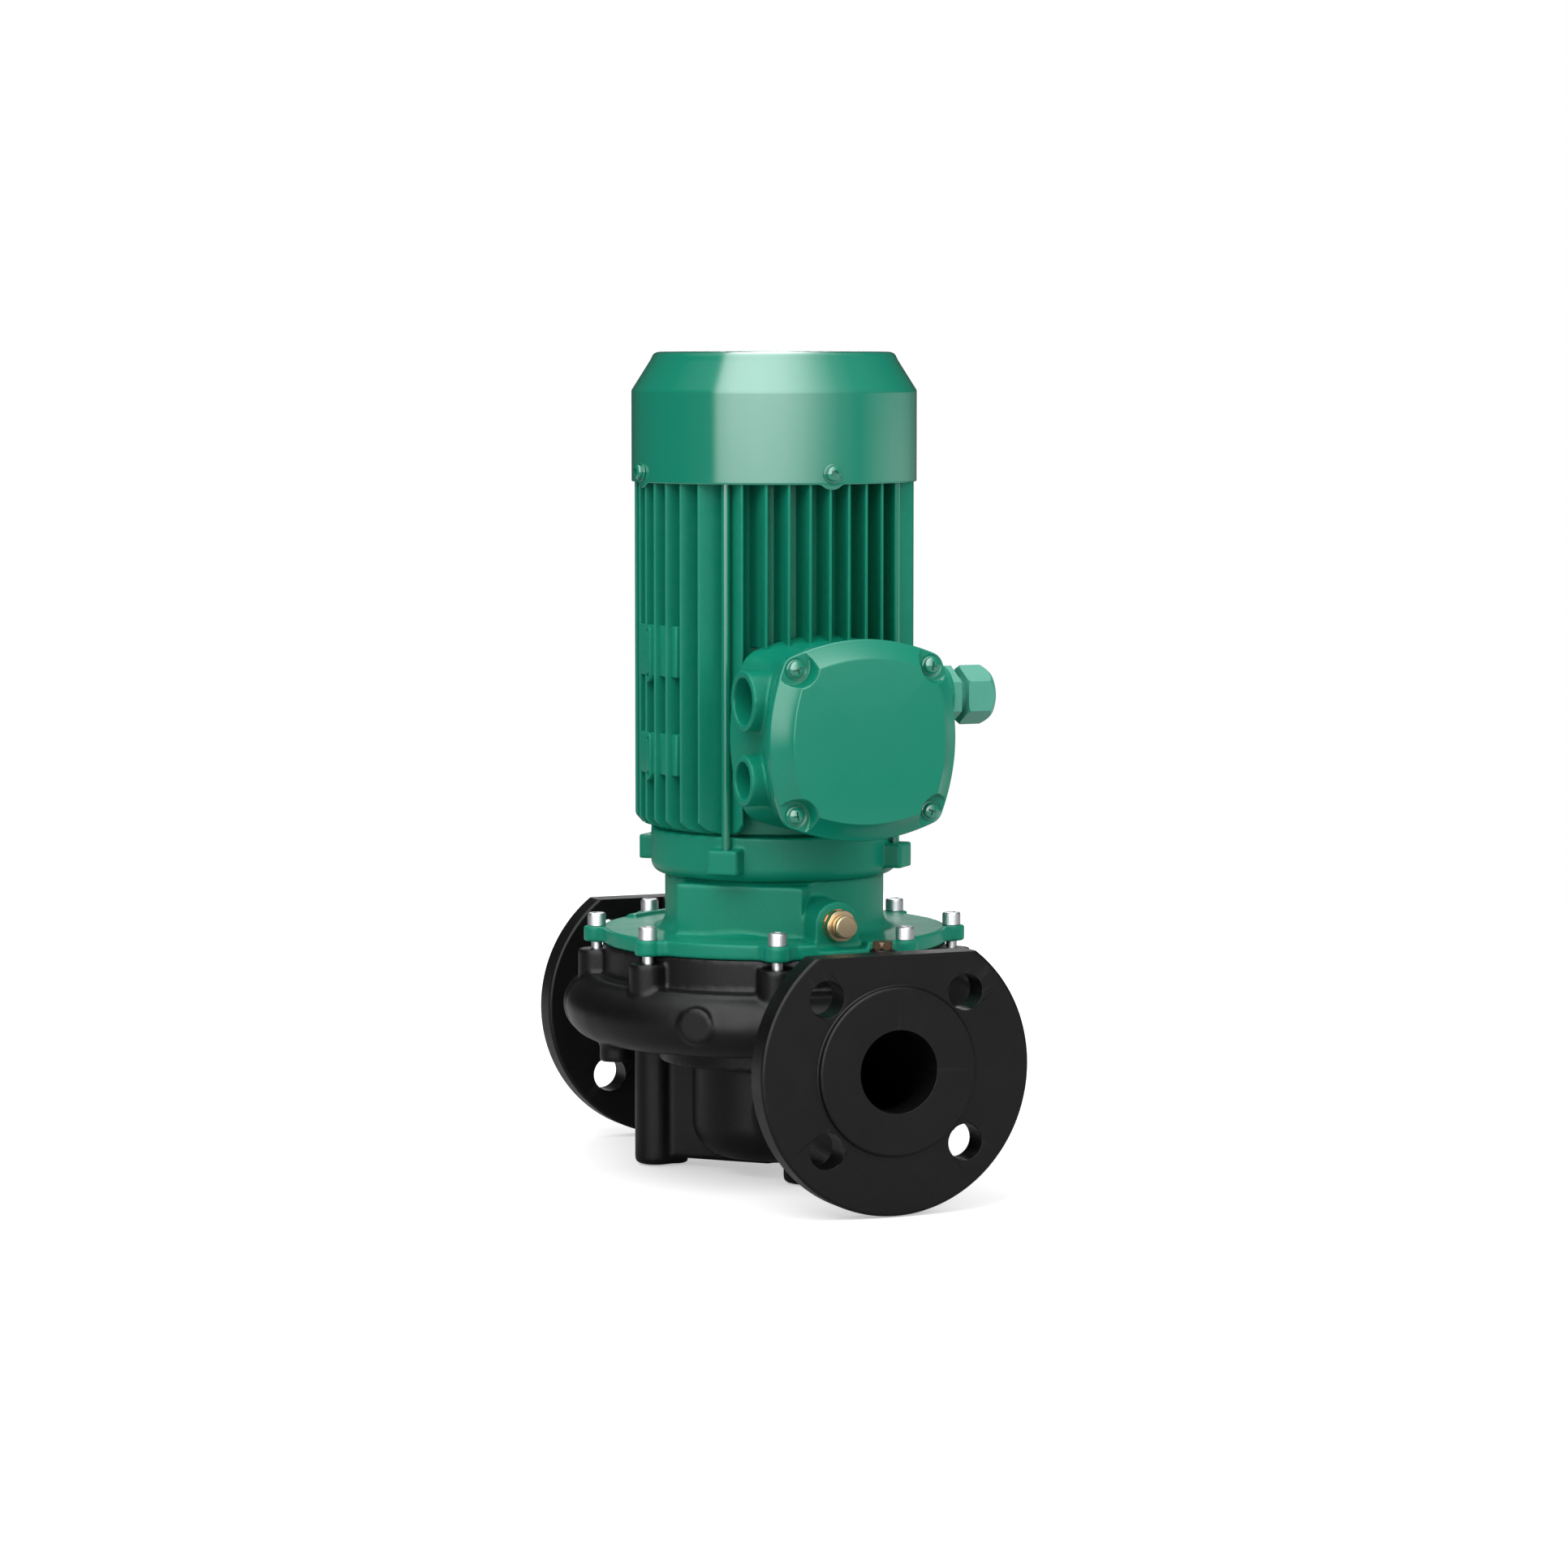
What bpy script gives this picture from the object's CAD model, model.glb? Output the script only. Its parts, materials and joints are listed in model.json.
import json
import math

import bmesh
import bpy
import numpy as np
from mathutils import Matrix, Vector


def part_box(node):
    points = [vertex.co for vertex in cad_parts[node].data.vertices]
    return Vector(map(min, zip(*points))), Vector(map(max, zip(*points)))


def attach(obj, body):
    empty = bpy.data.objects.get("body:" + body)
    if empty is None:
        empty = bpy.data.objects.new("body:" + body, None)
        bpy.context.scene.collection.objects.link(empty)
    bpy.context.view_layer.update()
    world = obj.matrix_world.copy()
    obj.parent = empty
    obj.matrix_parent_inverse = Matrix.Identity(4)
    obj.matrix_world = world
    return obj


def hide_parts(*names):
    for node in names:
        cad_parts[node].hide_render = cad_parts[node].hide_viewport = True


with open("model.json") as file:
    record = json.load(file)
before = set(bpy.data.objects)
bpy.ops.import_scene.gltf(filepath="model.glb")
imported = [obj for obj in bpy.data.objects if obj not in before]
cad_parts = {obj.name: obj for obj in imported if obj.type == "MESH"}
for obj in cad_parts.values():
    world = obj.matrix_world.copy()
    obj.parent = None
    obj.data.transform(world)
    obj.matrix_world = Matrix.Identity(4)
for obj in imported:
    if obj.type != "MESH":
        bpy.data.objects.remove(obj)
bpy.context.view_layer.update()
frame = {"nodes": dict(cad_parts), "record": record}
nodes = frame["nodes"]
MM = 0.001

COLOUR_SCALE, ROUGH_SCALE, RUB_SCALE = 22.0, 60.0, 160.0     # noise cells in a metre
ROUGH_DRIFT = 0.14
COAT_ROUGH = 0.12
SHARP_EDGE = 0.53, 0.62          # pointiness where rubbing starts and where it is full
COARSE_GRAIN = 0.28              # cells of the coarse grain for one of the fine grain


# Materials

def new_material(name):
    mat = bpy.data.materials.new(name)
    mat.use_nodes = True
    tree = mat.node_tree
    tree.nodes.clear()
    return mat, tree


def link(tree, a, b):
    tree.links.new(a, b)


def add_node(tree, kind, **inputs):
    made = tree.nodes.new(kind)
    for key, value in inputs.items():
        made.inputs[key.replace("_", " ")].default_value = value
    return made


def noise(tree, coords, scale, detail=3.0, rough=0.55):
    made = add_node(tree, "ShaderNodeTexNoise", Scale=scale, Detail=detail, Roughness=rough)
    link(tree, coords, made.inputs["Vector"])
    return made.outputs["Fac"]


def ramp(tree, value, stops):
    made = tree.nodes.new("ShaderNodeValToRGB")
    elements = made.color_ramp.elements
    elements[0].position, elements[0].color = stops[0][0], stops[0][1]
    elements[1].position, elements[1].color = stops[-1][0], stops[-1][1]
    for at, colour in stops[1:-1]:
        elements.new(at).color = colour
    link(tree, value, made.inputs["Fac"])
    return made.outputs["Color"]


def remap(tree, value, low, high):
    """Stretches a noise value, which stays near its middle, over low to high."""
    made = add_node(tree, "ShaderNodeMapRange", From_Min=0.3, From_Max=0.7, To_Min=low, To_Max=high)
    link(tree, value, made.inputs["Value"])
    return made.outputs["Result"]


def math_node(tree, operation, *values):
    """A math node's output; each value is a number or another node's output."""
    made = tree.nodes.new("ShaderNodeMath")
    made.operation = operation
    for k, value in enumerate(values):
        if isinstance(value, (int, float)):
            made.inputs[k].default_value = value
        else:
            link(tree, value, made.inputs[k])
    return made.outputs[0]


def grey(v):
    return (v, v, v, 1)


def tint(colour, k):
    return (colour[0] * k, colour[1] * k, colour[2] * k, 1)


def surface(name, colour, rough, metallic=0.0, grain=0.0, grain_size=1.0, spread=0.12,
            coat=0.0, specular=0.5, wear=0.0, wear_colour=(0.3, 0.3, 0.3), grit=0.0):
    """A procedural finish: colour drift, roughness drift, grain in the bump, and rubbed edges.

    grain is the depth of the grain and grain_size its size, both in millimetres. spread is the share
    by which the colour drifts, grit the share of a coarser grain, and wear how far edges are rubbed.
    """
    mat, tree = new_material(name)
    out = tree.nodes.new("ShaderNodeOutputMaterial")
    bsdf = add_node(tree, "ShaderNodeBsdfPrincipled", Metallic=metallic, Specular_IOR_Level=specular)
    link(tree, bsdf.outputs["BSDF"], out.inputs["Surface"])
    if coat:
        bsdf.inputs["Coat Weight"].default_value = coat
        bsdf.inputs["Coat Roughness"].default_value = COAT_ROUGH
    coords = tree.nodes.new("ShaderNodeTexCoord").outputs["Object"]
    drift = noise(tree, coords, COLOUR_SCALE, 4.0)
    shade = ramp(tree, drift, [(0.25, tint(colour, 1 - spread)), (0.75, tint(colour, 1 + spread))])
    if wear:
        geometry = tree.nodes.new("ShaderNodeNewGeometry")
        edge = ramp(tree, geometry.outputs["Pointiness"], [(SHARP_EDGE[0], grey(0)), (SHARP_EDGE[1], grey(1))])
        patches = remap(tree, noise(tree, coords, RUB_SCALE, 5.0, 0.7), 0.0, wear)
        mix = tree.nodes.new("ShaderNodeMix")
        mix.data_type = "RGBA"
        link(tree, math_node(tree, "MULTIPLY", edge, patches), mix.inputs["Factor"])
        link(tree, shade, mix.inputs[6])                     # 6 and 7 are its two colours, 2 their mix
        mix.inputs[7].default_value = (*wear_colour, 1)
        shade = mix.outputs[2]
    link(tree, shade, bsdf.inputs["Base Color"])
    rough_noise = noise(tree, coords, ROUGH_SCALE, 4.0)
    link(tree, remap(tree, rough_noise, rough * (1 - ROUGH_DRIFT), rough * (1 + ROUGH_DRIFT)), bsdf.inputs["Roughness"])
    if grain:
        height = noise(tree, coords, 1.0 / (grain_size * MM), 3.0, 0.6)
        if grit:
            coarse = noise(tree, coords, COARSE_GRAIN / (grain_size * MM), 2.0, 0.5)
            height = math_node(tree, "MULTIPLY_ADD", coarse, grit, height)
        bump = add_node(tree, "ShaderNodeBump", Strength=1.0, Distance=grain * MM)
        link(tree, height, bump.inputs["Height"])
        link(tree, bump.outputs["Normal"], bsdf.inputs["Normal"])
    return mat


GREEN = (0.004, 0.222, 0.139)
IRON = (0.0044, 0.0044, 0.0046)
looks = {
    "casing_iron": dict(colour=IRON, rough=0.36, specular=0.21, grain=0.07, grain_size=0.4, spread=0.06,
                        grit=0.2, wear=0.2, wear_colour=(0.06, 0.06, 0.06)),
    "green_casting": dict(colour=GREEN, rough=0.34, grain=0.05, grain_size=0.7, spread=0.05, grit=0.5,
                          specular=0.22, wear=0.10, wear_colour=(0.10, 0.36, 0.27)),
    "green_cover": dict(colour=GREEN, rough=0.13, grain=0.002, grain_size=0.5, spread=0.02, specular=0.85, coat=0.5),
    "green_plastic": dict(colour=(0.07, 0.34, 0.25), rough=0.34, grain=0.01, grain_size=0.4, spread=0.04),
    "zinc_steel": dict(colour=(0.62, 0.63, 0.65), rough=0.45, metallic=1.0, grain=0.012, grain_size=0.25, spread=0.08),
    "bright_steel": dict(colour=(0.56, 0.57, 0.59), rough=0.26, metallic=1.0, grain=0.006, grain_size=0.2, spread=0.06),
    "brass": dict(colour=(0.56, 0.44, 0.28), rough=0.32, metallic=1.0, grain=0.01, grain_size=0.3, spread=0.08),
    "seal_ceramic": dict(colour=(0.80, 0.78, 0.72), rough=0.2, grain=0.004, grain_size=0.3, spread=0.03),
    "seal_carbon": dict(colour=(0.05, 0.05, 0.055), rough=0.35, grain=0.006, grain_size=0.2, spread=0.1),
    "rubber": dict(colour=(0.02, 0.02, 0.021), rough=0.6, grain=0.02, grain_size=0.3, spread=0.1),
    "copper": dict(colour=(0.72, 0.34, 0.18), rough=0.3, metallic=1.0, grain=0.02, grain_size=0.6, spread=0.1),
    "core_steel": dict(colour=(0.28, 0.29, 0.31), rough=0.42, metallic=1.0, grain=0.03, grain_size=0.5, spread=0.1),
    "black_plastic": dict(colour=(0.018, 0.018, 0.02), rough=0.5, grain=0.02, grain_size=0.35, spread=0.1),
}
finish = {name: surface(name, **look) for name, look in looks.items()}
slot_of = {s["node"]: s["material_slot"] for s in frame["record"]["subparts"]}

for name, obj in nodes.items():
    for place in obj.material_slots:
        place.link = "OBJECT"
        place.material = finish[slot_of[name]]


# Pieces

FACES_KEPT = 0.4                 # share of a casting's faces that is left after thinning


def placed(name, data):
    """A new object in the scene, round a mesh, a lamp or a camera."""
    obj = bpy.data.objects.new(name, data)
    bpy.context.scene.collection.objects.link(obj)
    return obj


def mesh_from(name, bm):
    """A mesh from bm, which is used up."""
    mesh = bpy.data.meshes.new(name)
    bm.to_mesh(mesh)
    bm.free()
    return mesh


def mesh_object(name, verts, faces):
    mesh = bpy.data.meshes.new(name)
    mesh.from_pydata([tuple(v) for v in verts], [], faces)
    mesh.update()
    mesh.shade_smooth()
    return placed(name, mesh)


def apply_modifiers(obj):
    """Bakes obj's modifiers into its own mesh."""
    deps = bpy.context.evaluated_depsgraph_get()
    baked = bpy.data.meshes.new_from_object(obj.evaluated_get(deps))
    old = obj.data
    obj.modifiers.clear()
    obj.data = baked
    baked.name = obj.name
    bpy.data.meshes.remove(old)
    return obj


def joined(name, parts):
    """One object from several, with one mesh; the parts are used up."""
    bm = bmesh.new()
    for part in parts:
        part.data.transform(part.matrix_world)
        bm.from_mesh(part.data)
    mesh = mesh_from(name, bm)
    for part in parts:
        bpy.data.objects.remove(part)
    return placed(name, mesh)


def node_copy(node):
    """A welded copy of a CAD node's mesh, as raw stock for a piece."""
    obj = placed(node + "_stock", nodes[node].data.copy())
    bm = bmesh.new()
    bm.from_mesh(obj.data)
    bmesh.ops.remove_doubles(bm, verts=bm.verts, dist=1e-6)
    bm.to_mesh(obj.data)
    bm.free()
    return obj


def lathe(name, profile, steps=96, closed=True, bend=None):
    """Turns a profile of (radius, height) pairs in millimetres round Z.

    closed joins the profile's two ends. bend(k, i, r, h) gives the place of point i at step k.
    """
    n = len(profile)
    verts, faces = [], []
    for k in range(steps):
        a = 2 * math.pi * k / steps
        for i, (r, h) in enumerate(profile):
            if bend:
                r, h = bend(k, i, r, h)
            verts.append((r * math.cos(a) * MM, r * math.sin(a) * MM, h * MM))
    for k in range(steps):
        p, q = k * n, (k + 1) % steps * n
        for i in range(n if closed else n - 1):
            j = (i + 1) % n
            faces.append((p + i, q + i, q + j, p + j))
    return outward(mesh_object(name, verts, faces), weld=1e-7)


def plug(radius, start, end, segments=32):
    """A plain round plug between two points in millimetres, to fill or to cut a hole."""
    start, end = Vector(start), Vector(end)
    bm = bmesh.new()
    bmesh.ops.create_cone(bm, cap_ends=True, segments=segments, radius1=radius * MM, radius2=radius * MM,
                          depth=(end - start).length * MM)
    obj = placed("plug", mesh_from("plug", bm))
    turn = (end - start).to_track_quat("Z", "Y").to_matrix().to_4x4()
    obj.data.transform(Matrix.Translation((start + end) / 2 * MM) @ turn)
    return obj


def block(low, high):
    """A plain block between two corners in millimetres, as stock or as a cutter."""
    low, high = Vector(low), Vector(high)
    bm = bmesh.new()
    bmesh.ops.create_cube(bm, size=1.0)
    obj = placed("block", mesh_from("block", bm))
    obj.data.transform(Matrix.Translation((low + high) / 2 * MM) @ Matrix.Diagonal((*((high - low) * MM), 1)))
    return obj


def cut(obj, cutter):
    """Takes the cutter out of obj; the cutter is used up."""
    mod = obj.modifiers.new("cut", "BOOLEAN")
    mod.operation = "DIFFERENCE"
    mod.solver = "EXACT"
    mod.object = cutter
    apply_modifiers(obj)
    bpy.data.objects.remove(cutter)
    return obj


def casting(name, stock, voxel, rounds):
    """Melts the stock together into one skin with the soft edges and fillets of a casting.

    voxel is the size of its cells in millimetres, rounds the number of times that it is smoothed.
    """
    obj = joined(name, stock)
    melt = obj.modifiers.new("melt", "REMESH")
    melt.mode = "VOXEL"
    melt.voxel_size = voxel * MM
    melt.adaptivity = 0.0
    soft = obj.modifiers.new("soften", "SMOOTH")
    soft.factor = 0.5
    soft.iterations = rounds
    thin = obj.modifiers.new("thin", "DECIMATE")
    thin.ratio = FACES_KEPT
    apply_modifiers(obj)
    drop_inner_shells(obj)
    obj.data.shade_smooth()
    return obj


def weigh_normals(obj):
    """Keeps wide faces flat in the light, so that only the rounded edges between them catch it."""
    mod = obj.modifiers.new("flat_faces", "WEIGHTED_NORMAL")
    mod.keep_sharp = True


def drop_inner_shells(obj):
    """Keeps only the largest connected skin."""
    bm = bmesh.new()
    bm.from_mesh(obj.data)
    bm.verts.ensure_lookup_table()
    unseen = set(range(len(bm.verts)))
    groups = []
    while unseen:
        first = unseen.pop()
        group, todo = [first], [first]
        while todo:
            v = bm.verts[todo.pop()]
            for e in v.link_edges:
                k = e.other_vert(v).index
                if k in unseen:
                    unseen.discard(k)
                    group.append(k)
                    todo.append(k)
        groups.append(group)
    groups.sort(key=len)
    loose = [bm.verts[k] for group in groups[:-1] for k in group]
    bmesh.ops.delete(bm, geom=loose, context="VERTS")
    bm.to_mesh(obj.data)
    bm.free()


def outward(obj, weld=0.0):
    """Turns every face outwards, and first welds points that lie closer than weld, in metres."""
    bm = bmesh.new()
    bm.from_mesh(obj.data)
    if weld:
        bmesh.ops.remove_doubles(bm, verts=bm.verts, dist=weld)
    bmesh.ops.recalc_face_normals(bm, faces=bm.faces)
    bm.to_mesh(obj.data)
    bm.free()
    return obj


def smooth_by_angle(obj, degrees):
    """Smooth faces, with edges sharper than this angle left crisp."""
    bm = bmesh.new()
    bm.from_mesh(obj.data)
    for face in bm.faces:
        face.smooth = True
    limit = math.radians(degrees)
    for edge in bm.edges:
        edge.smooth = len(edge.link_faces) == 2 and edge.calc_face_angle(0.0) < limit
    bm.to_mesh(obj.data)
    bm.free()
    return obj


def finished(obj, body, slot, *replaced):
    """Hands a piece over: its body, its slot and the CAD nodes that it stands for."""
    obj.data.materials.clear()
    obj.data.materials.append(finish[slot])
    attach(obj, body)
    if replaced:
        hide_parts(*replaced)
    return obj


def add_bevel(obj, width, segments, angle):
    """A modifier that rounds edges sharper than angle, in degrees; width is in millimetres."""
    bevel = obj.modifiers.new("edge", "BEVEL")
    bevel.width = width * MM
    bevel.segments = segments
    bevel.limit_method = "ANGLE"
    bevel.angle_limit = math.radians(angle)
    return bevel


def soften_edges(obj, width, segments=3, angle=35):
    add_bevel(obj, width, segments, angle)
    return apply_modifiers(obj)


# Sizes in millimetres: the outer ones come from the frame, the others are the CAD's own

def size(node):
    """The low and the high corner of a CAD node."""
    low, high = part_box(node)
    return low / MM, high / MM


case_high = size("pump_casing")[1]
house_low, house_high = size("stator_housing")
cover_high = size("fan_cover")[1]
lid_low, lid_high = size("terminal_cover")

face_y = case_high.y             # flange face from the shaft axis
pipe_z = 75.0
port_r = 21.5
flange_r, flange_t = 75.0, 15.0
flange_flat_z = pipe_z + 59.8    # the flat cut on top of each flange
raised_r, raised_h = 43.75, 3.0
flange_back_y = face_y - raised_h - flange_t
bolt_circle_r, flange_hole_r = 55.0, 9.5
neck_r = 37.0                    # inside it the flange belongs to the neck
lantern_bolt_r = 95.3
joint_z, boss_top_z, plate_top_z = 125.2, 121.3, 133.5
shield_top_z, house_top_z = house_low.z, house_high.z
beyond = 95.0                    # clear of the casing, for cutters


def around(n, start=0.0):
    """n directions round the shaft, as (cosine, sine)."""
    turns = [math.radians(start + 360 * k / n) for k in range(n)]
    return [(math.cos(a), math.sin(a)) for a in turns]


bolt_spots = [(lantern_bolt_r * c, lantern_bolt_r * s) for c, s in around(8, 22.5)]


# Pump casing

def axis_turn(side):
    """Stands a lathe piece up so that its axis is the pipe's, pointing out of the side -1 or +1 flange."""
    return Matrix.Translation((0, 0, pipe_z * MM)) @ Matrix.Rotation(math.radians(-90 * side), 4, "X")


def quarter(cx, cy, radius, start, steps=5):
    """Points along a quarter turn of this radius, in millimetres."""
    turns = [math.radians(start + 90 * k / steps) for k in range(steps + 1)]
    return [(cx + radius * math.cos(a), cy + radius * math.sin(a)) for a in turns]


def flange(side):
    """A machined flange on the -Y (side -1) or +Y (side 1) end, with rounded edges."""
    back, front = flange_back_y, flange_back_y + flange_t
    rim, top, foot = 1.9, 1.4, 0.9           # radii of the rim's, the raised face's and its foot's rounding
    profile = [(port_r, back)]
    profile += quarter(flange_r - rim, back + rim, rim, 270) + quarter(flange_r - rim, front - rim, rim, 0)
    profile += quarter(raised_r + foot, front + foot, foot, 180)[::-1]
    profile += quarter(raised_r - top, face_y - top, top, 0) + [(port_r, face_y)]
    disc = lathe("flange", profile, 144)
    disc.data.transform(axis_turn(side))
    middle, reach = side * (back + flange_t / 2), 25
    cut(disc, block((-100, middle - reach, flange_flat_z), (100, middle + reach, flange_flat_z + 50)))
    for c, s in around(4, 45):
        x, z = bolt_circle_r * c, pipe_z + bolt_circle_r * s
        cut(disc, plug(flange_hole_r, (x, side * (back - 3), z), (x, side * (face_y + 3), z), 48))
    return soften_edges(disc, 0.9, 3, 40)


def neck_fillet(side):
    """The cast hollow where a branch runs into the back of its flange."""
    back, inner = flange_back_y, port_r + 3
    profile = [(inner, back - 8), (30, back - 8), (31.2, back - 4), (33.5, back - 1.4), (neck_r, back),
               (neck_r, back + 9), (inner, back + 9)]
    ring = lathe("fillet", profile, 72)
    ring.data.transform(axis_turn(side))
    return ring


def build_casing():
    """The cast body is the CAD's own stock melted into one soft skin; the two flanges are machined and stay crisp."""
    raw = node_copy("pump_casing")
    back, bore_r = flange_back_y, 23.5
    stock = [raw]
    for side in (-1, 1):
        washer = lathe("washer", [(neck_r, back - 0.02), (beyond, back - 0.02), (beyond, face_y + 5),
                                  (neck_r, face_y + 5)])
        washer.data.transform(axis_turn(side))
        cut(raw, washer)
        near, far = sorted((side * (back + 9), side * (face_y + 9)))
        cut(raw, block((-beyond, near, -20), (beyond, far, 160)))
        fillet = neck_fillet(side)
        for piece in (raw, fillet):
            cut(piece, plug(bore_r, (0, side * (back + 1), pipe_z), (0, side * (back + 14), pipe_z), 64))
        stock.append(fillet)
    for x, y in bolt_spots:
        stock.append(plug(4.2, (x, y, boss_top_z - 22), (x, y, boss_top_z)))
    rib_x, rib_y, rib_r = -38.5, 46.8, 7.0   # the rib beside the foot on the left
    stock.append(plug(rib_r, (rib_x, rib_y, 0.2), (rib_x, rib_y, 60)))
    body = casting("casing_body", stock, 1.25, 5)
    piece = joined("casing_casting", [body, flange(-1), flange(1)])
    smooth_by_angle(piece, 38)
    weigh_normals(piece)
    return finished(piece, "pump", "casing_iron", "pump_casing")


# Lantern and drive end shield

def build_lantern():
    """The bolt holes are filled, since their screws fill them."""
    stock = [node_copy("lantern")]
    for x, y in bolt_spots:
        stock.append(plug(4.4, (x, y, joint_z), (x, y, plate_top_z)))
    piece = casting("lantern_casting", stock, 0.9, 6)
    return finished(piece, "pump", "green_casting", "lantern")


def build_shield():
    piece = casting("shield_casting", [node_copy("drive_end_shield")], 0.8, 5)
    return finished(piece, "pump", "green_casting", "drive_end_shield")


build_casing()
build_lantern()
build_shield()


# Stator housing

root_r, tip_r, barrel_r = 59.0, 74.4, 54.1
fin_pitch = {"Y": 11.0, "X": 10.4}
box_mid_z = shield_top_z + 54.4
seat_half_x, seat_half_z = 41.5, 38.0


def fin_floor(r):
    """Height of a fin's lower end over the shield, by distance from the shaft axis."""
    return float(np.interp(r, [0, root_r + 1, tip_r - 3, tip_r + 1], [0, 0, 3.5, 8.5]))


def fin(along, offset, side, floor_z=None):
    """One fin: thicker at its root, round at its tip, with its lower end cut at a slope."""
    reach = math.sqrt(tip_r ** 2 - offset ** 2)
    start = math.sqrt(max((root_r - 2) ** 2 - offset ** 2, 0))
    tip_half, root_half = 0.85, 1.15
    steps = [(start, root_half + 0.9), (start + 2.2, root_half + 0.35), (start + 3.4, root_half + 0.1)]
    body = np.linspace(start + 5, reach - tip_half, 5)
    steps += [(float(u), root_half + (tip_half - root_half) * (u - start) / (reach - start)) for u in body]
    steps += [(reach - tip_half * (1 - math.sin(a)), tip_half * math.cos(a)) for a in (0.45, 0.9, 1.25)]
    ring = steps + [(reach, 0.0)] + [(u, -w) for u, w in reversed(steps)]
    verts, n = [], len(ring)
    # Three levels: the lower end drawn in at its rim, the full section just above it, and the upper end
    for level, rise, inset in ((0, 0.0, 0.55), (1, 0.5, 1.0), (2, 0.0, 1.0)):
        for u, w in ring:
            z = house_top_z
            if level < 2:
                z = shield_top_z + fin_floor(math.hypot(u, offset)) if floor_z is None else floor_z
            p = (side * (u - (0.4 if level == 0 and u > reach - 2 else 0)), offset + w * inset)
            if along == "Y":
                p = (p[1], p[0])
            verts.append((p[0] * MM, p[1] * MM, (z + rise) * MM))
    faces = []
    for level in range(2):
        for k in range(n):
            a, b = level * n + k, level * n + (k + 1) % n
            faces.append((a, b, b + n, a + n))
    for base in (0, 2 * n):
        for k in range(n // 2):
            faces.append((base + k, base + k + 1, base + n - 2 - k, base + n - 1 - k))
    return mesh_object("fin", verts, [f for f in faces if len(set(f)) == 4])


def box_seat():
    """The flat seat between the barrel and the terminal box, with soft corners."""
    low = (-seat_half_x, -64.0, box_mid_z - seat_half_z)
    return soften_edges(block(low, (seat_half_x, -42.0, box_mid_z + seat_half_z)), 1.5, 4)


def plate_holders():
    """Two cast bridges across the -X fins, each with an upright tab that has an eye."""
    made = []
    edges = [-28.0, -20.8, -10.4, 0.0, 10.4]
    for low, high in ((shield_top_z + 31, shield_top_z + 53), (shield_top_z + 83, shield_top_z + 110)):
        for y0, y1 in zip(edges, edges[1:]):
            reach = math.sqrt(tip_r ** 2 - max(abs(y0), abs(y1)) ** 2) - 0.3
            made.append(soften_edges(block((-reach, y0, low), (-root_r + 2, y1, high)), 0.9, 3))
        made.append(tab_with_eye(-tip_r + 2.6, -4.2, low - 3.2, high))
    return made


def tab_with_eye(x, y, low, high):
    """An upright tab with round ends; x is its back face, and it stands out to -X by its thickness."""
    half, thick, steps = 3.2, 3.2, 12
    outline = []
    for middle, start in ((high - half, 0.0), (low + half, math.pi)):
        for k in range(steps + 1):
            a = start + math.pi * k / steps
            outline.append((y + half * math.cos(a), middle + half * math.sin(a)))
    n = len(outline)
    verts = [((x - dx) * MM, p * MM, q * MM) for dx in (0, thick) for p, q in outline]
    faces = [tuple(range(n)), tuple(range(2 * n - 1, n - 1, -1))]
    faces += [(k, (k + 1) % n, (k + 1) % n + n, k + n) for k in range(n)]
    tab = outward(mesh_object("tab", verts, faces))
    for z, r in ((low + half, 1.6), (high - half, 1.0)):
        cut(tab, plug(r, (x - thick - 1, y, z), (x - 0.8, y, z)))
    return soften_edges(tab, 0.35, 2)


def build_housing():
    parts = []
    for k in range(-4, 5):
        for side in (-1, 1):
            parts.append(fin("X", k * fin_pitch["X"], side))
            x = k * fin_pitch["Y"]
            behind_box = side == -1 and abs(x) < seat_half_x
            parts.append(fin("Y", x, side, box_mid_z + 45.0 if behind_box else None))
    profile = [(barrel_r, shield_top_z), (root_r - 1.2, shield_top_z), (root_r, shield_top_z + 1.2),
               (root_r, house_top_z - 0.6), (root_r - 0.6, house_top_z), (barrel_r, house_top_z)]
    parts.append(lathe("barrel", profile, 160))
    parts.append(box_seat())
    parts += plate_holders()
    piece = outward(joined("finned_housing", parts))
    smooth_by_angle(piece, 40)
    return finished(piece, "pump", "green_casting", "stator_housing")


# Fan cover

cover_out_r = 76.0
cover_screw_z = 5.5              # the rim screws' height over the cover's edge


def rim_height(angle):
    """Height of the rim over the cover's edge, 0 or less: a round lobe at each screw, with soft corners."""
    s = (angle / (math.pi / 2) - round(angle / (math.pi / 2))) * (math.pi / 2) * cover_out_r
    lobe_r, corner, overlap = 8.3, 1.6, 0.6
    half = math.sqrt(lobe_r * lobe_r - cover_screw_z * cover_screw_z)
    if abs(s) < half - overlap:
        return min(cover_screw_z - math.sqrt(lobe_r * lobe_r - s * s), 0.0)
    if abs(s) < half + corner:
        edge = cover_screw_z - math.sqrt(lobe_r * lobe_r - (half - overlap) ** 2)
        t = (abs(s) - half + overlap) / (corner + overlap)
        return edge * (1 - t) ** 2
    return 0.0


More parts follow.
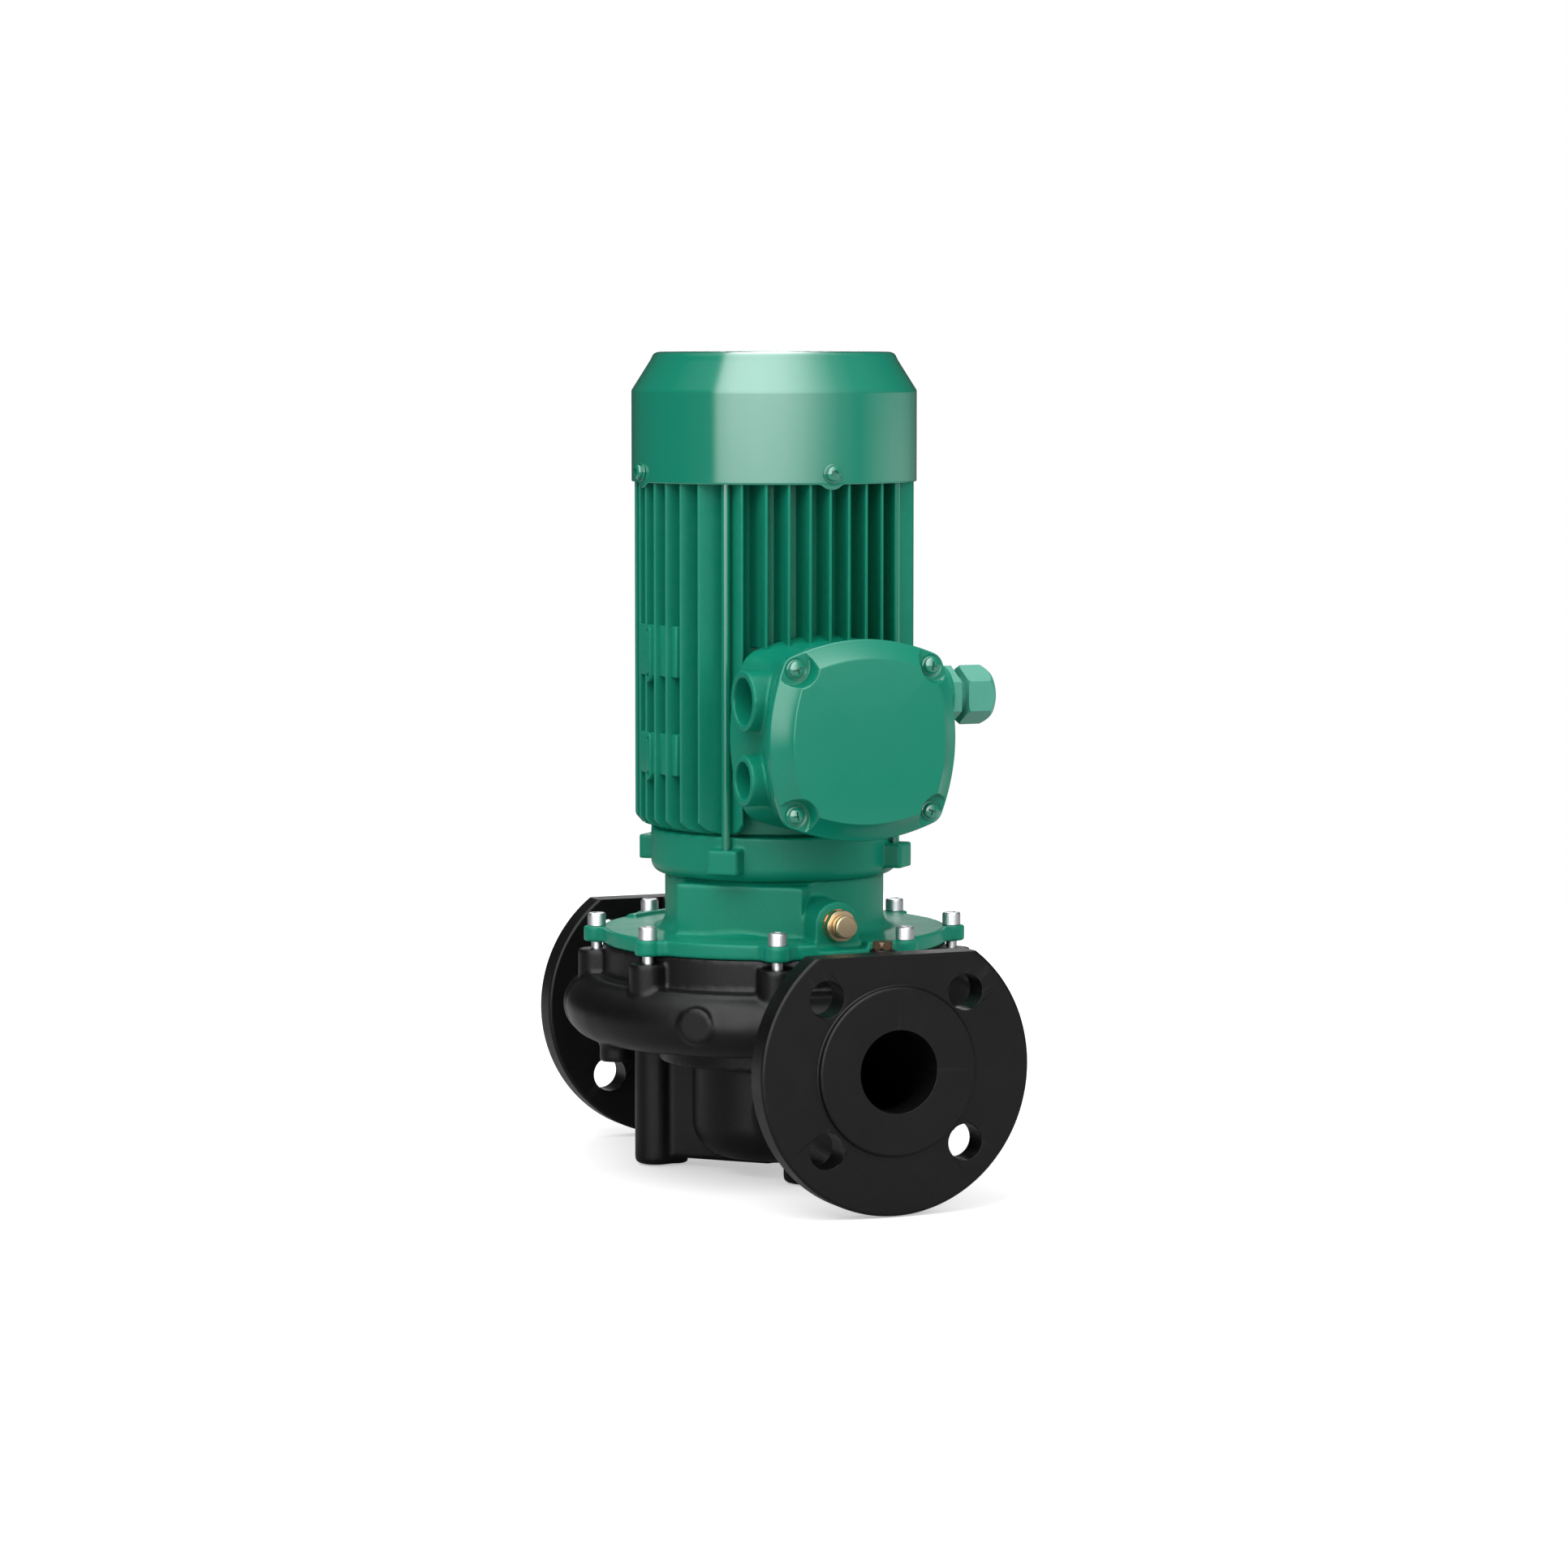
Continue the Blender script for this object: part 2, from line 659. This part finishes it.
def cover_grille(top):
    """The rings and spokes let into the cover's top."""
    pitch, slot, middle_r, last_r = 6.6, 4.0, 13.0, 59.2
    depth, ring_n = 1.0, int((58.6 - middle_r) / pitch)
    parts = []
    for k in range(ring_n):
        low_r = middle_r + k * pitch + slot
        high_r = low_r + pitch - slot if k < ring_n - 1 else last_r
        if high_r - low_r > 0.6:
            e = min(0.45, (high_r - low_r) / 3)
            parts.append(lathe("bar", [(low_r, top - depth), (low_r, top - e), (low_r + e, top), (high_r - e, top),
                                       (high_r, top - e), (high_r, top - depth)], 120))
    parts.append(lathe("middle", [(0.001, top - depth), (0.001, top), (middle_r - 0.5, top), (middle_r, top - 0.5),
                                  (middle_r, top - depth)]))
    for k in range(8):
        spoke = soften_edges(block((middle_r - 1.5, -1.5, top - 1.02), (59.6, 1.5, top - 0.03)), 0.3, 2)
        spoke.data.transform(Matrix.Rotation(2 * math.pi * k / 8, 4, "Z"))
        parts.append(spoke)
    return parts


def build_fan_cover():
    """The pressed shell with its lobed rim and rolled lip, and the grille in its top."""
    z0, wide_r = house_top_z, cover_out_r
    outer = [(wide_r, h) for h in (0.0, 0.55, 1.0, 2.0, 46.4, 47.2, 47.6)]
    outer += [(75.93, 48.1), (75.72, 48.6), (75.33, 49.22), (74.74, 50.16), (66.88, 62.64), (66.29, 63.58),
              (65.9, 64.2), (65.2, 65.7), (64.6, 66.9), (63.7, 67.8), (62.4, 68.35), (60.8, 68.6), (59.6, 68.6)]
    inner = [(58.9, 68.2), (58.9, 67.6), (60.8, 67.4), (62.0, 67.1), (63.3, 66.0), (64.1, 64.4), (74.8, 47.4),
             (75.0, 46.8), (75.0, 0.55), (75.0, 0.0)]
    steps, n = 720, len(outer) + len(inner)
    rim = [rim_height(2 * math.pi * k / steps) for k in range(steps)]

    def lobed(k, i, r, h):
        """The points at the two ends of the profile follow the lobes, with the edge between them drawn in."""
        if i in (0, n - 1):
            h = rim[k]
            r += -0.18 if i == 0 else 0.18
        elif i in (1, n - 2):
            h = rim[k] + 0.35
        return r, z0 + h

    shell = lathe("shell", outer + inner, steps, bend=lobed)
    piece = joined("cover_sheet", [shell] + cover_grille(cover_high.z))
    smooth_by_angle(piece, 32)
    return finished(piece, "pump", "green_cover", "fan_cover")


build_housing()
build_fan_cover()


# Terminal box: entry_ and gland_ are its holes, pocket_ and seat_ the hollows round the cover's screws

lid_w, lid_h = lid_high.x - lid_low.x, lid_high.z - lid_low.z
lid_mid_z = (lid_low.z + lid_high.z) / 2
lid_screw_x, lid_screw_z = lid_w / 2 - 14.6, lid_h / 2 - 14.6
lid_face_w, lid_face_h = 86.0, 86.0
rim_bow, rim_corner, face_bow = 100, 2.8, 89
pocket_r, pocket_shift, seat_r = 9.6, 1.6, 6.0
entry_y, entry_big_r, entry_small_r, gland_hole_r = 90.0, 12.3, 9.8, 12.0
entry_up_z, entry_down_z, box_wall = 261.5, 220.5, 3.5
lid_paint = surface("lid_paint", GREEN, 0.20, grain=0.004, grain_size=0.5, spread=0.02, specular=0.42, coat=0.06)


def soft_min(a, b, k):
    """The smaller of a and b, rounded over where they are within k of each other."""
    t = np.clip(0.5 + 0.5 * (b - a) / k, 0, 1)
    return b * (1 - t) + a * t - k * t * (1 - t)


def bowed_radius(c, s, w, h, bow, corner):
    """Radius of a bowed rectangle along the direction (c, s): four arcs of radius bow that meet in rounded corners."""
    c, s = np.abs(c), np.abs(s)
    side = w / (c + np.sqrt(c ** 2 + w * s ** 2 / bow))
    end = h / (s + np.sqrt(s ** 2 + h * c ** 2 / bow))
    return soft_min(side, end, corner)


def bowed_ratio(x, z, w, h, bow, corner):
    """0 in the middle of a bowed rectangle, 1 on its outline."""
    r = np.hypot(x, z)
    c, s = np.where(r > 0, x / np.maximum(r, 1e-9), 1), z / np.maximum(r, 1e-9)
    return r / bowed_radius(c, s, w, h, bow, corner)


def cover_height(x, z, w, h, back, front):
    """Distance of the cover's skin from the shaft axis: a flared flank, a raised face and a pocket round each screw."""
    rim_y, step_y = back + 4.9, 0.4
    rim = bowed_ratio(x, z, w - 2.0, h - 2.0, rim_bow, rim_corner)
    face = bowed_ratio(x, z, lid_face_w, lid_face_h, face_bow, 0.8)
    climb = np.clip((1 - rim) / np.maximum(face - rim, 1e-4), 0, 1)
    climb = np.where(face < 1, 1, climb)
    flank = rim_y + (front - step_y - 0.8 - rim_y) * climb * (0.86 + 0.14 * climb)
    flank += np.clip(1 - face, 0, None) * 60
    crown = front - 0.8 * np.clip(face, 0, 1.3) ** 2.4
    skin = soft_min(flank, crown, 0.4)
    skin = np.where(face < 1, np.maximum(skin, crown - step_y), skin)
    seat = back + 4.5
    for sx in (-1, 1):
        for sz in (-1, 1):
            d = np.hypot(x - sx * (lid_screw_x + pocket_shift), z - sz * (lid_screw_z + pocket_shift))
            from_screw = np.hypot(x - sx * lid_screw_x, z - sz * lid_screw_z)
            wall = seat + np.clip(d - pocket_r, 0, None) * 6
            floor = seat - 0.5 * np.clip((seat_r - from_screw) / 0.4, 0, 1)
            skin = soft_min(skin, np.where(d < pocket_r, floor, wall), 0.25)
    return skin


def box_skirt():
    """The box's side wall: bowed like the cover, a little waisted, and widest where it meets the fins."""
    steps = 180
    half_w, half_h = lid_high.x, lid_h / 2
    sections = [(60.5, 1.5), (61.0, 0.9), (62.5, 0.6), (66, 1.6), (71, 3.2), (78, 4.6), (86, 5.2), (94, 4.6),
                (101, 3.0), (106, 1.6), (109.5, 1.2)]           # distance from the shaft axis, and how far drawn in
    angles = 2 * np.pi * np.arange(steps) / steps
    c, s = np.cos(angles), np.sin(angles)
    rings = [bowed_radius(c, s, 2 * (half_w - inset), 2 * (half_h - inset), rim_bow, 5.0) for y, inset in sections]
    verts, n = [], len(sections)
    for wall in (0.0, box_wall):
        verts += [((r - wall) * p * MM, -y * MM, (lid_mid_z + (r - wall) * q) * MM)
                  for ring, (y, inset) in zip(rings, sections) for r, p, q in zip(ring, c, s)]

    def at(shell, row, k):
        return (shell * n + row) * steps + k % steps

    faces = []
    for k in range(steps):
        for row in range(n - 1):
            faces.append((at(0, row, k), at(0, row + 1, k), at(0, row + 1, k + 1), at(0, row, k + 1)))
            faces.append((at(1, row, k), at(1, row, k + 1), at(1, row + 1, k + 1), at(1, row + 1, k)))
        for row in (0, n - 1):
            faces.append((at(0, row, k), at(0, row, k + 1), at(1, row, k + 1), at(1, row, k)))
    skirt = mesh_object("skirt", verts, faces)
    outward(skirt)
    for z, r in ((entry_up_z, entry_big_r), (entry_down_z, entry_small_r)):
        cut(skirt, plug(r, (-75, -entry_y, z), (-30, -entry_y, z), 64))
    cut(skirt, plug(gland_hole_r, (30, -entry_y, entry_up_z), (75, -entry_y, entry_up_z), 48))
    return skirt


def build_box():
    piece = casting("box_casting", [node_copy("terminal_box"), box_skirt()], 0.75, 7)
    return finished(piece, "pump", "green_casting", "terminal_box")


def build_terminal_cover():
    """A moulded cover made as one polar height field inside its bowed rim."""
    w, h, back, front = lid_w, lid_h, -lid_high.y, -lid_low.y
    turns = 720
    angles = 2 * np.pi * np.arange(turns) / turns
    c, s = np.cos(angles), np.sin(angles)
    edge = bowed_radius(c, s, w, h, rim_bow, rim_corner)
    flat = np.full(turns, 1.0)
    rows = [(0 * flat, back * flat), (edge * 0.9, back * flat), (edge - 1.0, back * flat)]
    rim = [(0.3, 0.1), (0.05, 0.5), (0.0, 1.0), (0.0, 3.4), (0.08, 3.9), (0.35, 4.3)]    # inset, height
    rows += [(edge - inset, (back + height) * flat) for inset, height in rim]
    # Rows lie close together where the skin bends, on the flank and at the screws, and wide apart in the middle
    inward = [0.8, 1.2, 1.6] + list(np.arange(1.85, 24.0, 0.22)) + list(np.arange(24.5, 34, 1.0))
    for e in inward:
        r = edge - e
        rows.append((r, np.maximum(cover_height(r * c, r * s, w, h, back, front), back + 3.6)))
    inner = edge - inward[-1]
    for ratio in (0.7, 0.4, 0.15, 0.0):
        r = inner * ratio
        rows.append((r, cover_height(r * c, r * s, w, h, back, front)))
    verts, faces = [], []
    for r, y in rows:
        verts += [(float(a * p) * MM, -float(d) * MM, (lid_mid_z + float(a * q)) * MM)
                  for a, d, p, q in zip(r, y, c, s)]
    for k in range(len(rows) - 1):
        for i in range(turns):
            j = (i + 1) % turns
            faces.append((k * turns + i, k * turns + j, (k + 1) * turns + j, (k + 1) * turns + i))
    cover = outward(mesh_object("box_cover", verts, faces), weld=2e-6)
    cover.data.shade_smooth()
    finished(cover, "pump", "green_cover", "terminal_cover")
    cover.data.materials[0] = lid_paint
    return cover


build_box()
build_terminal_cover()


# Small pieces

def hex_cutter(across_flats, low, high):
    """A cutter for a hexagon socket between two heights in a screw on Z."""
    return plug(across_flats / 2 / math.cos(math.radians(30)), (0, 0, low), (0, 0, high), 6)


def socket_head(name, head_r, head_h, key_af, shank_r, shank_h):
    """A socket-head screw on +Z: knurled side, rounded rim, hexagon socket, shank below."""
    profile = [(0.0, -shank_h), (shank_r - 0.4, -shank_h), (shank_r, 0.4 - shank_h), (shank_r, 0.0),
               (head_r - 0.35, 0.0), (head_r, 0.35), (head_r, 0.9), (head_r, head_h - 1.4),
               (head_r - 0.1, head_h - 0.8), (head_r - 0.35, head_h - 0.35), (head_r - 0.8, head_h - 0.06),
               (head_r - 1.1, head_h), (0.0, head_h)]
    teeth, depth, groove = 36, 0.09, (0.0, 0.6, 1.0, 0.6)

    def knurled(k, i, r, h):
        """The two points on the head's side, the seventh and the eighth, go in and out."""
        return (r - depth * groove[k % 4] if i in (6, 7) else r), h

    screw = lathe(name, profile, teeth * 4, closed=False, bend=knurled)
    return cut(screw, hex_cutter(key_af, head_h * 0.45, head_h + 2))


def copies(obj, places):
    """Copies of obj, turned and moved by 4 x 4 matrices in metres, joined into one object."""
    parts = []
    for place in places:
        part = placed(obj.name, obj.data.copy())
        part.data.transform(place)
        parts.append(part)
    bpy.data.objects.remove(obj)
    return joined(parts[0].name, parts)


def build_lantern_bolts():
    screw = socket_head("bolt", 4.9, 7.0, 5.0, 2.95, 28.0)
    places = [Matrix.Translation((lantern_bolt_r * c * MM, lantern_bolt_r * s * MM, plate_top_z * MM))
              @ Matrix.Rotation(math.atan2(s, c) + 0.4 * k, 4, "Z") for k, (c, s) in enumerate(around(8, 22.5))]
    piece = smooth_by_angle(copies(screw, places), 40)
    return finished(piece, "pump", "zinc_steel", "lantern_bolts")


def pan_head(name, head_r, head_h, shank_r, shank_h):
    """A pan-head screw on +Z with a crossed recess, on a thin spring washer."""
    turns = np.linspace(0, math.pi / 2, 9)
    dome = [(head_r * math.cos(a), head_h * 0.42 + head_h * 0.58 * math.sin(a)) for a in turns]
    profile = [(0.0, -shank_h), (shank_r, -shank_h), (shank_r, 0.0), (head_r + 0.4, 0.0), (head_r + 0.6, 0.15),
               (head_r + 0.6, 0.45), (head_r + 0.4, 0.6), (head_r - 0.1, 0.6), (head_r, 0.85)] + dome[:-1]
    profile.append((0.0, head_h))
    screw = lathe(name, [(max(r, 0.0001), z) for r, z in profile], 56, closed=False)
    for turn in (0, 90):
        slot = block((-head_r * 0.55, -0.45, head_h * 0.5), (head_r * 0.55, 0.45, head_h + 1))
        slot.data.transform(Matrix.Rotation(math.radians(turn), 4, "Z"))
        cut(screw, slot)
    return screw


def facing_out(x, z, y, turn):
    """Places a piece that stands on Z so that it looks out along -Y from the plane at distance y, in millimetres."""
    return (Matrix.Translation((x * MM, -y * MM, z * MM)) @ Matrix.Rotation(math.radians(90), 4, "X")
            @ Matrix.Rotation(turn, 4, "Z"))


def build_cover_screws():
    seat_y = -lid_high.y + 4.0
    screw = pan_head("lid_screw", 4.3, 3.6, 1.95, 10)
    places = [facing_out(sx * lid_screw_x, lid_mid_z + sz * lid_screw_z, seat_y, 0.5 * sx + 0.9 * sz)
              for sx in (-1, 1) for sz in (-1, 1)]
    piece = smooth_by_angle(copies(screw, places), 40)
    return finished(piece, "pump", "green_cover", "terminal_cover_screws")


def build_rim_screws():
    """The four screws round the fan cover: washer, round head and hexagon recess."""
    dome = [(3.9 * math.cos(a), 2.5 + 1.5 * math.sin(a)) for a in np.linspace(0, math.pi / 2 - 0.5, 7)]
    profile = [(0.0001, -6.0), (2.3, -6.0), (2.3, 0.0), (4.75, 0.0), (5.0, 0.2), (5.0, 0.75), (4.75, 1.0), (3.85, 1.0),
               (3.9, 1.3)] + dome + [(0.0001, 4.0)]
    screw = lathe("rim_screw", profile, 56, closed=False)
    cut(screw, hex_cutter(4.0, 2.2, 6))
    side = Matrix.Translation((cover_out_r * MM, 0, (house_top_z + cover_screw_z) * MM))
    places = [Matrix.Rotation(math.radians(90 * k), 4, "Z") @ side
              @ Matrix.Rotation(math.radians(90), 4, "Y") @ Matrix.Rotation(0.3 + k, 4, "Z") for k in range(4)]
    piece = smooth_by_angle(copies(screw, places), 40)
    return finished(piece, "pump", "green_cover", "fan_cover_screws")


def soften_node(node, width):
    """Rounds the edges of a CAD node with modifiers; its own mesh stays as it is."""
    obj = nodes[node]
    weld = obj.modifiers.new("weld", "WELD")
    weld.merge_threshold = 2e-6
    flat = obj.modifiers.new("flat", "DECIMATE")
    flat.decimate_type = "DISSOLVE"
    flat.angle_limit = math.radians(1.0)
    bevel = add_bevel(obj, width, 3, 30)
    bevel.use_clamp_overlap = True
    bevel.harden_normals = True


build_lantern_bolts()
build_cover_screws()
build_rim_screws()
for name, width in (("vent_valve_body", 0.3), ("vent_screw", 0.4), ("gauge_plugs", 0.25), ("gland_body", 0.4),
                    ("gland_nut", 0.5), ("tie_rod_nuts", 0.25), ("drain_plug", 0.25), ("box_gasket", 0.2)):
    soften_node(name, width)
dull_brass = surface("dull_brass", (0.10, 0.062, 0.035), 0.42, metallic=0.6, grain=0.02, grain_size=0.3, spread=0.15)
nodes["gauge_plugs"].material_slots[0].material = dull_brass


# Stage: soft boxes and a world for the light, white paper under the pump, and the camera

PUMP_MIDDLE = Vector((0, 0, 0.22))
DIFFUSE_LEVEL = 0.84             # the world's strength for diffuse light
TALL_BOX_LEVEL, LOW_BOX_LEVEL = 5.3, 0.8
ROOM_LEVEL, ROOM_FALL = 0.17, -0.13          # in gloss, and its change towards the back
NEAR_POINT = (-0.40, -0.916, 0)


def stage_light(name, azimuth, elevation, distance, width, height, power):
    """A soft box that looks at the middle of the pump and isn't seen in gloss.

    Azimuth 0 stands before the near flange, and positive goes to the right.
    """
    lamp = bpy.data.lights.new(name, "AREA")
    lamp.shape = "RECTANGLE"
    lamp.size, lamp.size_y = width, height
    lamp.energy = power
    obj = placed(name, lamp)
    a, e = math.radians(azimuth), math.radians(elevation)
    away = Vector((math.sin(a) * math.cos(e), -math.cos(a) * math.cos(e), math.sin(e)))
    obj.location = PUMP_MIDDLE + away * distance
    obj.rotation_euler = (-away).to_track_quat("-Z", "Y").to_euler()
    obj.visible_glossy = False


stage_light("key_left", -48, 48, 2.2, 1.6, 1.6, 24)
stage_light("fill_right", 38, 22, 2.4, 1.8, 1.4, 15)


def times(a, b):
    return math_node(wt, "MULTIPLY", a, b)


def plus(a, b):
    return math_node(wt, "ADD", a, b)


def levels(value, low, high, stops):
    """A strength in the world that changes along a value, given as (value, strength) pairs."""
    place = math_node(wt, "DIVIDE", math_node(wt, "SUBTRACT", value, low), high - low)
    return ramp(wt, place, [((at - low) / (high - low), grey(strength)) for at, strength in stops])


# The studio seen in gloss: a tall soft box on the left that fades to the right, a low one on the right, and
# a room that is dimmer at the back, but for its upper part. The azimuth is taken from a point before the
# pump, as for lamps that stand near.
world = bpy.data.worlds.new("studio")
bpy.context.scene.world = world
world.use_nodes = True
wt = world.node_tree
wt.nodes.clear()
w_out = wt.nodes.new("ShaderNodeOutputWorld")
w_back = add_node(wt, "ShaderNodeBackground", Color=grey(1))
w_path = wt.nodes.new("ShaderNodeLightPath")
w_dir = wt.nodes.new("ShaderNodeTexCoord").outputs["Generated"]
w_near = wt.nodes.new("ShaderNodeVectorMath")
w_near.operation = "ADD"
link(wt, w_dir, w_near.inputs[0])
w_near.inputs[1].default_value = NEAR_POINT
w_level = wt.nodes.new("ShaderNodeSeparateXYZ")
link(wt, w_near.outputs[0], w_level.inputs[0])
w_high = wt.nodes.new("ShaderNodeSeparateXYZ")
link(wt, w_dir, w_high.inputs[0])
azimuth = math_node(wt, "DEGREES", math_node(wt, "ARCTAN2", w_level.outputs["X"], times(w_level.outputs["Y"], -1.0)))
elevation = math_node(wt, "DEGREES", math_node(wt, "ARCSINE", w_high.outputs["Z"]))
tall_box = times(levels(azimuth, -60, 20, [(-49, 0), (-46, 0.7), (-40, 0.93), (-30, 1), (-20, 0.9), (-12, 0.64),
                                           (-4, 0.3), (3, 0.09), (12, 0)]),
                 levels(elevation, -10, 10, [(-6, 0), (-3.2, 0.28), (-1.2, 0.68), (0.6, 0.93), (4, 0.97)]))
low_box = times(levels(azimuth, 0, 80, [(13, 0), (22, 0.7), (30, 1), (38, 0.85), (50, 0.25), (65, 0)]),
                levels(elevation, -20, 10, [(-12, 0), (-5, 0.8), (-1.6, 1), (0.5, 0.15), (3, 0)]))
behind = levels(w_high.outputs["Y"], -1, 1, [(-0.3, 0), (0.3, 1)])
upper_back = times(behind, levels(elevation, 0, 90, [(38, 0), (62, 0.5)]))
room = plus(times(behind, ROOM_FALL), plus(ROOM_LEVEL, upper_back))
gloss = plus(times(tall_box, TALL_BOX_LEVEL), plus(times(low_box, LOW_BOX_LEVEL), room))

# A Mix node's inputs 2 and 3 are its two numbers: first diffuse or gloss, then either of them or the white
# that the camera sees
w_gloss = wt.nodes.new("ShaderNodeMix")
link(wt, w_path.outputs["Is Glossy Ray"], w_gloss.inputs["Factor"])
w_gloss.inputs[2].default_value = DIFFUSE_LEVEL
link(wt, gloss, w_gloss.inputs[3])
w_seen = wt.nodes.new("ShaderNodeMix")
seen = math_node(wt, "MAXIMUM", w_path.outputs["Is Camera Ray"], w_path.outputs["Is Transmission Ray"])
link(wt, seen, w_seen.inputs["Factor"])
link(wt, w_gloss.outputs[0], w_seen.inputs[2])
w_seen.inputs[3].default_value = 1.0
link(wt, w_seen.outputs[0], w_back.inputs["Strength"])
link(wt, w_back.outputs["Background"], w_out.inputs["Surface"])

# The paper: white where the camera sees it, darker for the light that it throws back
floor_r, floor_drop = 1.4, 0.0006
floor_mesh = bpy.data.meshes.new("floor")
floor_rim = [(floor_r * c, floor_r * s, 0) for c, s in around(96)]
floor_mesh.from_pydata(floor_rim, [], [range(len(floor_rim))])
floor = placed("floor", floor_mesh)
floor.location.z = -floor_drop
floor_mat, ft = new_material("floor_paper")
f_out = ft.nodes.new("ShaderNodeOutputMaterial")
f_diff = add_node(ft, "ShaderNodeBsdfDiffuse", Color=grey(0.84))
f_bounce = add_node(ft, "ShaderNodeBsdfDiffuse", Color=grey(0.50))
f_glow = add_node(ft, "ShaderNodeEmission", Color=grey(1), Strength=0.45)
f_path = ft.nodes.new("ShaderNodeLightPath")
f_sum = ft.nodes.new("ShaderNodeAddShader")
f_mix = ft.nodes.new("ShaderNodeMixShader")
link(ft, f_diff.outputs[0], f_sum.inputs[0])
link(ft, f_glow.outputs[0], f_sum.inputs[1])
link(ft, f_path.outputs["Is Camera Ray"], f_mix.inputs[0])
link(ft, f_bounce.outputs[0], f_mix.inputs[1])
link(ft, f_sum.outputs[0], f_mix.inputs[2])
link(ft, f_mix.outputs[0], f_out.inputs["Surface"])
floor_mesh.materials.append(floor_mat)

camera_data = bpy.data.cameras.new("camera")
camera = placed("camera", camera_data)
camera_data.lens = 117.45
camera_data.sensor_width = 36.0
camera_data.clip_end = 30
camera.location = (-1.0887, -2.5061, 0.4503)
aim = Vector((0.00483, -0.00211, 0.2096))
camera.rotation_euler = (aim - camera.location).to_track_quat("-Z", "Y").to_euler()
bpy.context.scene.camera = camera
bpy.context.scene.view_settings.view_transform = "Standard"

bpy.context.view_layer.update()
